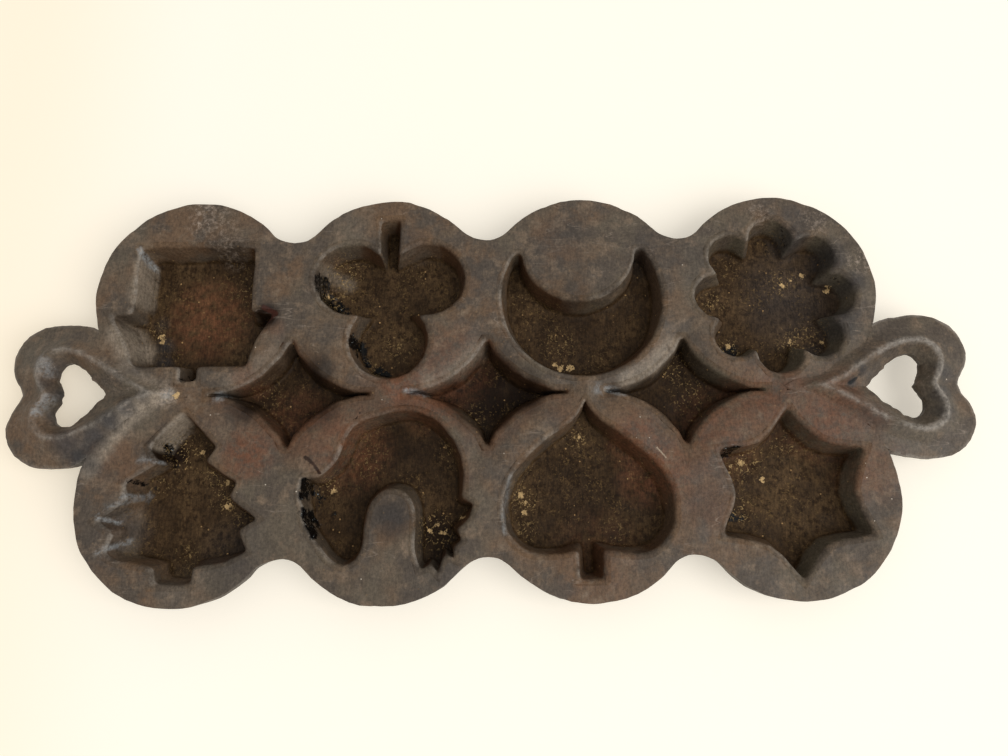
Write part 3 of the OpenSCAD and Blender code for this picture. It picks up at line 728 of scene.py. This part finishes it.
    # crumbs: a fine golden dust and here and there a grain, mostly on the floors
    littered = r.math("MAXIMUM", r.layer("litter"), r.math("MULTIPLY", r.ramp(r.noise(12, 3), 0.42, 0.62), 0.45))
    hair = r.math("ABSOLUTE", r.math("SUBTRACT", r.noise(2.4, 1, 0.4), 0.5))
    hair = r.math("MULTIPLY", r.ramp(hair, 0.030, 0.008), r.ramp(r.noise(1.7, 2), 0.50, 0.60))
    dust = r.math("MAXIMUM", r.ramp(r.noise(0.9, 2, 0.5), 0.60, 0.68), hair)
    dust = r.math("MULTIPLY", dust, r.math("MULTIPLY", littered, r.ramp(ragged, 0.0135, 0.0090)))
    grains = r.add("ShaderNodeTexVoronoi")
    r.wire(r.place, grains.inputs["Vector"])
    grains.inputs["Scale"].default_value = 1000 / 2.6
    pick = r.add("ShaderNodeSeparateColor")
    r.wire(grains.outputs["Color"], pick.inputs[0])
    grain = r.math("MULTIPLY", r.ramp(grains.outputs["Distance"], 0.16, 0.10), r.ramp(pick.outputs[0], 0.86, 0.9))
    grain = r.math("MULTIPLY", grain, r.ramp(ragged, 0.0175, 0.0080, 0.12, 1.0))
    gold = r.mix(r.layer("litter"), (0.20, 0.125, 0.048, 1), (0.44, 0.30, 0.13, 1))
    colour = r.mix(r.math("MULTIPLY", dust, 0.9), colour, gold)
    colour = r.mix(grain, colour, (0.33, 0.20, 0.085, 1))
    tear = r.math("MULTIPLY", r.math("SUBTRACT", r.noise(1.5, 4, 0.7), 0.5), 0.0062)
    plan = r.add("ShaderNodeVectorMath", operation="MULTIPLY")
    r.wire(r.place, plan.inputs[0])
    plan.inputs[1].default_value = (1, 1, 0)
    for x, y, size in crumbs:
        spot = r.add("ShaderNodeVectorMath", operation="DISTANCE")
        r.wire(plan.outputs[0], spot.inputs[0])
        spot.inputs[1].default_value = (x * MM, y * MM, 0)
        torn = r.math("ADD", spot.outputs["Value"], tear)
        colour = r.mix(r.ramp(torn, size * MM, 0.65 * size * MM), colour, (0.50, 0.34, 0.16, 1))
    # single pale specks on the upper face
    speck = r.math("MULTIPLY", r.ramp(grains.outputs["Distance"], 0.12, 0.06), r.ramp(pick.outputs[1], 0.962, 0.970))
    colour = r.mix(r.math("MULTIPLY", speck, high), colour, (0.50, 0.44, 0.36, 1))
    # grain of the sand, and the strokes of years of wiping
    stroke = r.add("ShaderNodeMapping")
    r.wire(r.place, stroke.inputs["Vector"])
    stroke.inputs["Rotation"].default_value = (0, 0, -0.25)
    stroke.inputs["Scale"].default_value = (1.5, 0.35, 1)
    streak = r.noise(1.1, 5, 0.75, stroke.outputs[0])
    stroke = r.mix(low, r.ramp(streak, 0.3, 0.7, 0.82, 1.18), r.ramp(streak, 0.3, 0.7, 0.62, 1.38))
    sand = r.math("MULTIPLY", stroke, r.ramp(fine, 0.25, 0.75, 0.70, 1.30))
    shade = r.add("ShaderNodeVectorMath", operation="SCALE")
    r.wire(colour, shade.inputs[0])
    r.wire(sand, shade.inputs["Scale"])
    skin = r.add("ShaderNodeBsdfPrincipled")
    r.wire(shade.outputs[0], skin.inputs["Base Color"])
    rough = r.ramp(medium, 0.3, 0.7, 0.42, 0.62)
    rough = r.math("ADD", rough, r.math("MULTIPLY", low, 0.12))
    rough = r.math("SUBTRACT", rough, r.math("MULTIPLY", r.math("MAXIMUM", soot_and_shadow, painted_glint), 0.28))
    r.wire(rough, skin.inputs["Roughness"])
    skin.inputs["Specular IOR Level"].default_value = gloss
    height = r.math("ADD", r.math("MULTIPLY", fine, 0.12), r.math("MULTIPLY", medium, 0.3))
    height = r.math("ADD", height, r.math("MULTIPLY", r.math("MAXIMUM", dust, grain), 0.12))
    bump = r.add("ShaderNodeBump")
    bump.inputs["Strength"].default_value = 1.0
    bump.inputs["Distance"].default_value = 1.0 * MM
    r.wire(height, bump.inputs["Height"])
    r.wire(bump.outputs[0], skin.inputs["Normal"])
    r.wire(skin.outputs[0], r.out.inputs["Surface"])
    return r.material


# %% Mix the two finishes
CRUMBS = [(-131.2, 26.2, 1.2), (-130.2, 24.0, 0.8), (-111.4, -20.3, 0.9), (-100.7, -32.0, 0.8), (-98.9, -36.5, 1.0),
          (-100.0, -40.8, 1.1), (-59.9, -35.5, 1.3), (-23.2, -50.6, 1.1), (-18.7, -51.4, 1.0), (-21.0, -48.2, 0.7),
          (-11.2, -46.3, 0.8), (11.3, -37.8, 1.2), (12.0, -44.5, 1.1), (12.6, -41.0, 0.7), (27.7, 11.3, 1.3),
          (31.2, 11.3, 1.4), (25.2, 12.8, 0.7), (33.8, -15.8, 0.7), (95.8, -26.8, 1.2), (90.0, -30.7, 0.8),
          (91.6, -28.0, 0.7), (103.0, -32.9, 1.0), (117.7, 44.8, 0.8), (126.2, 48.6, 1.1), (134.8, 42.2, 1.0),
          (118.7, 21.0, 0.8), (121.5, 46.4, 0.6), (94.0, 19.5, 1.2), (131.0, 20.6, 0.8), (-64.8, 41.5, 0.6)]
plate_finish = seasoned_iron("worn_plate_iron", 0.32, 0, [(-117.6, -0.4, 1.3)])
cup_finish = seasoned_iron("oiled_pocket_iron", 0.12, 1, CRUMBS)
for name, piece in castings.items():
    piece.data.materials.clear()
    piece.data.materials.append(cup_finish if name.endswith("_cup") else plate_finish)
print("iron finish:", len(cup_finish.node_tree.nodes), "nodes")

# %% Seat the skins on the frame
for node, (name, axes) in WORK.items():
    piece = castings[name]
    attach(piece, "root")
    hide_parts(node)

# %% [markdown]
# ## Table, light and camera
# The mould lies on a pale table. The photograph was taken from close above, by a phone
# held a little towards the lower row, with the light from a window on the lower right.

# %% The pale table
bpy.ops.mesh.primitive_plane_add(size=6, location=(0, 0, 0))
table = bpy.context.active_object
table.name = "table"
t = Recipe("pale_table")
matte = t.add("ShaderNodeBsdfDiffuse")
matte.inputs["Color"].default_value = (0.74, 0.70, 0.62, 1)
glow = t.add("ShaderNodeEmission")
sides = t.add("ShaderNodeSeparateXYZ")
t.wire(t.place, sides.inputs[0])
# the glow seen by the camera turns warmer and darker towards the left: painted shade on the table
t.wire(t.mix(t.ramp(sides.outputs["X"], -0.12, -0.21), (1.0, 0.93, 0.80, 1), (0.98, 0.80, 0.54, 1)), glow.inputs["Color"])
path = t.add("ShaderNodeLightPath")
seen = t.math("ADD", path.outputs["Is Camera Ray"],
              t.math("ADD", path.outputs["Is Glossy Ray"], path.outputs["Is Transmission Ray"]), clamp=True)
t.wire(t.math("MULTIPLY", seen, 0.42), glow.inputs["Strength"])
both = t.add("ShaderNodeAddShader")
t.wire(matte.outputs[0], both.inputs[0])
t.wire(glow.outputs[0], both.inputs[1])
t.wire(both.outputs[0], t.out.inputs["Surface"])
table.data.materials.append(t.material)

# %% A soft window light and a pale room
window = bpy.data.lights.new("window", "AREA")
window.shape = "RECTANGLE"
window.size, window.size_y = 1.6, 1.6
window.energy = 24
window.color = (1.0, 0.985, 0.96)
lamp = bpy.data.objects.new("window", window)
bpy.context.scene.collection.objects.link(lamp)
lamp.location = (1.15, -0.60, 1.45)
lamp.rotation_euler = (Vector((0, 0, 0)) - lamp.location).to_track_quat("-Z", "Y").to_euler()
room = bpy.data.worlds.new("pale_room")
bpy.context.scene.world = room
room.use_nodes = True
room.node_tree.nodes["Background"].inputs[0].default_value = (1.0, 0.985, 0.96, 1)
room.node_tree.nodes["Background"].inputs[1].default_value = 0.53

# %% The camera
eye = bpy.data.cameras.new("phone")
eye.sensor_width = 36
eye.lens = 27.143
camera = bpy.data.objects.new("phone", eye)
bpy.context.scene.collection.objects.link(camera)
camera.location = (0.00496, -0.05759, 0.29529)
camera.rotation_euler = (0.220494, 0.0020436, -0.0114302)
bpy.context.scene.camera = camera
bpy.context.scene.view_settings.view_transform = "Standard"
